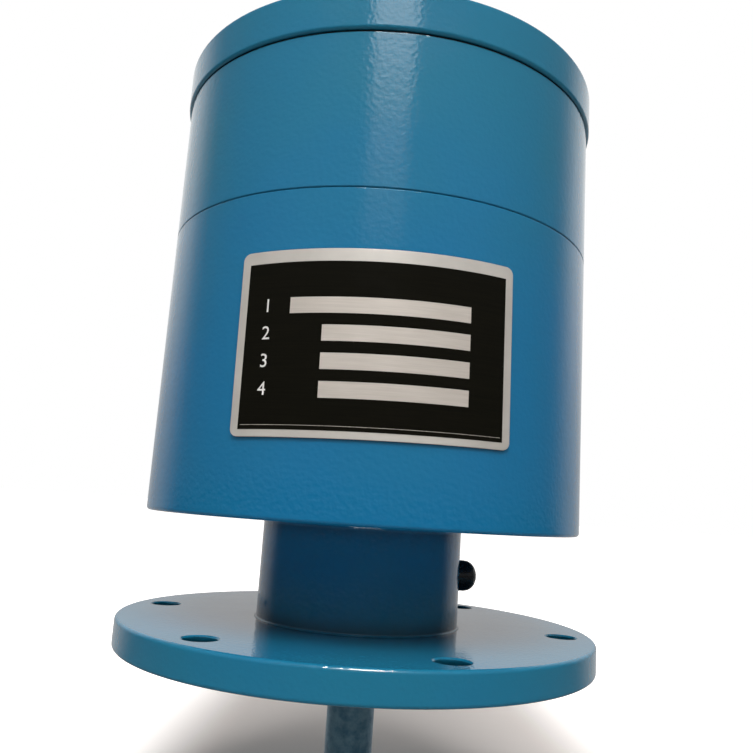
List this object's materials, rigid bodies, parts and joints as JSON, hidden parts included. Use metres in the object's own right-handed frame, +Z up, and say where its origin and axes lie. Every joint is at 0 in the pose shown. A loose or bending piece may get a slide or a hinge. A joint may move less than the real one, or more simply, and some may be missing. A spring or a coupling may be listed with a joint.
{
  "type": "centrifugal overspeed switch",
  "caption": "Shaft-driven centrifugal overspeed switch: a round drum with a lift-off cap on a short neck and a drilled round flange, with a flyweight governor that trips a small switch.",
  "frame": {"origin": "centre of the flange's mounting face, on the shaft's axis", "axes": "+Z up the shaft's axis, from the flange towards the drum's cap; -Y towards the nameplate; +X towards the lock screw in the neck"},
  "size_m": [0.12, 0.1315, 0.1887],
  "materials": {
    "blue_enamel": "gloss",
    "plate_metal": "satin",
    "black_steel": "satin",
    "turned_steel": "satin",
    "shaft_steel": "satin",
    "bearing_steel": "polished",
    "spring_steel": "satin",
    "weight_steel": "satin",
    "zinc_steel": "satin",
    "brass": "satin",
    "black_rubber": "matte",
    "black_plastic": "satin",
    "cream_plastic": "satin",
    "red_plastic": "gloss",
    "lead_insulation": "satin"
  },
  "bodies": {
    "housing": {"base_flange": "blue_enamel", "lower_housing": "blue_enamel", "upper_housing": "blue_enamel", "nameplate": "plate_metal", "flange_screws": "black_steel", "neck_lock_screw": "black_steel", "bearing_cartridge": "turned_steel", "shaft_seal": "black_rubber", "lower_bearing_outer_ring": "bearing_steel", "upper_bearing_outer_ring": "bearing_steel", "cartridge_circlip": "black_steel", "seam_o_ring": "black_rubber", "housing_screws": "zinc_steel", "switch_plate": "zinc_steel", "switch_plate_screws": "zinc_steel", "guide_bush": "brass", "switch_bracket": "zinc_steel", "bracket_screws": "zinc_steel", "microswitch_body": "black_plastic", "switch_terminals": "brass", "switch_screws": "zinc_steel", "lever_pin": "turned_steel", "terminal_block": "cream_plastic", "terminal_screws": "brass", "lead_wires": "lead_insulation", "gland_body": "black_plastic", "gland_seal": "black_rubber", "gland_nut": "black_plastic", "gland_locknut": "black_plastic", "cap_gasket": "black_rubber"},
    "rotor": {"drive_shaft": "shaft_steel", "lower_bearing_inner_ring": "bearing_steel", "upper_bearing_inner_ring": "bearing_steel", "bearing_spacer": "turned_steel", "shaft_circlip": "black_steel", "rotor_carrier": "turned_steel", "carrier_pin": "bearing_steel", "hinge_pins": "bearing_steel", "rotor_posts": "turned_steel", "rotor_top_plate": "turned_steel", "post_screws": "zinc_steel", "adjusting_screw": "brass", "lock_ring": "brass", "governor_spring": "spring_steel"},
    "lower_cage": {"lower_bearing_balls": "bearing_steel", "lower_bearing_cage": "brass"},
    "upper_cage": {"upper_bearing_balls": "bearing_steel", "upper_bearing_cage": "brass"},
    "right_weight": {"flyweight_right": "weight_steel"},
    "left_weight": {"flyweight_left": "weight_steel"},
    "sleeve": {"trip_sleeve": "turned_steel", "thrust_ball": "bearing_steel"},
    "plunger": {"trip_plunger": "turned_steel", "plunger_clip": "black_steel"},
    "lever": {"switch_lever": "spring_steel", "roller_pin": "turned_steel"},
    "roller": {"lever_roller": "black_plastic"},
    "button": {"switch_button": "red_plastic"},
    "cap": {"top_cap": "blue_enamel", "cap_screws": "zinc_steel"}
  },
  "joints": [
    {"name": "rotor_spin", "type": "hinge", "parent": "housing", "child": "rotor", "pos_m": [0, 0, 0.06], "axis": [0, 0, 1], "continuous": true},
    {"name": "lower_cage_spin", "type": "hinge", "parent": "housing", "child": "lower_cage", "pos_m": [0, 0, 0.017], "axis": [0, 0, 1], "continuous": true},
    {"name": "upper_cage_spin", "type": "hinge", "parent": "housing", "child": "upper_cage", "pos_m": [0, 0, 0.035], "axis": [0, 0, 1], "continuous": true},
    {"name": "right_weight_swing", "type": "hinge", "parent": "rotor", "child": "right_weight", "pos_m": [0.02, 0, 0.057], "axis": [0, 1, 0], "range_deg": [0, 20], "stiffness_Nm_per_rad": 0.374, "springref_deg": -27.27},
    {"name": "left_weight_swing", "type": "hinge", "parent": "rotor", "child": "left_weight", "pos_m": [-0.02, 0, 0.057], "axis": [0, -1, 0], "range_deg": [0, 20]},
    {"name": "sleeve_lift", "type": "slide", "parent": "rotor", "child": "sleeve", "axis": [0, 0, 1], "range_m": [0, 0.0037], "deforming": ["governor_spring"]},
    {"name": "plunger_lift", "type": "slide", "parent": "housing", "child": "plunger", "axis": [0, 0, 1], "range_m": [0, 0.0037]},
    {"name": "lever_tilt", "type": "hinge", "parent": "housing", "child": "lever", "pos_m": [-0.01996, 0, 0.11717], "axis": [0, -1, 0], "range_deg": [0, 10.4]},
    {"name": "roller_spin", "type": "hinge", "parent": "lever", "child": "roller", "pos_m": [0, 0, 0.1125], "axis": [0, 1, 0], "continuous": true},
    {"name": "button_press", "type": "slide", "parent": "housing", "child": "button", "axis": [0, 0, 1], "range_m": [0, 0.00117]},
    {"name": "cap_lift", "type": "slide", "parent": "housing", "child": "cap", "axis": [0, 0, 1], "range_m": [0, 0.045]}
  ],
  "couplings": [
    {"joint": "lower_cage_spin", "follows": "rotor_spin", "ratio": 0.381},
    {"joint": "upper_cage_spin", "follows": "rotor_spin", "ratio": 0.381},
    {"joint": "left_weight_swing", "follows": "right_weight_swing", "ratio": 1},
    {"joint": "sleeve_lift", "follows": "right_weight_swing", "m_per_rad": 0.0105},
    {"joint": "plunger_lift", "follows": "right_weight_swing", "m_per_rad": 0.0105},
    {"joint": "lever_tilt", "follows": "right_weight_swing", "ratio": 0.51785},
    {"joint": "button_press", "follows": "right_weight_swing", "m_per_rad": 0.00333}
  ]
}
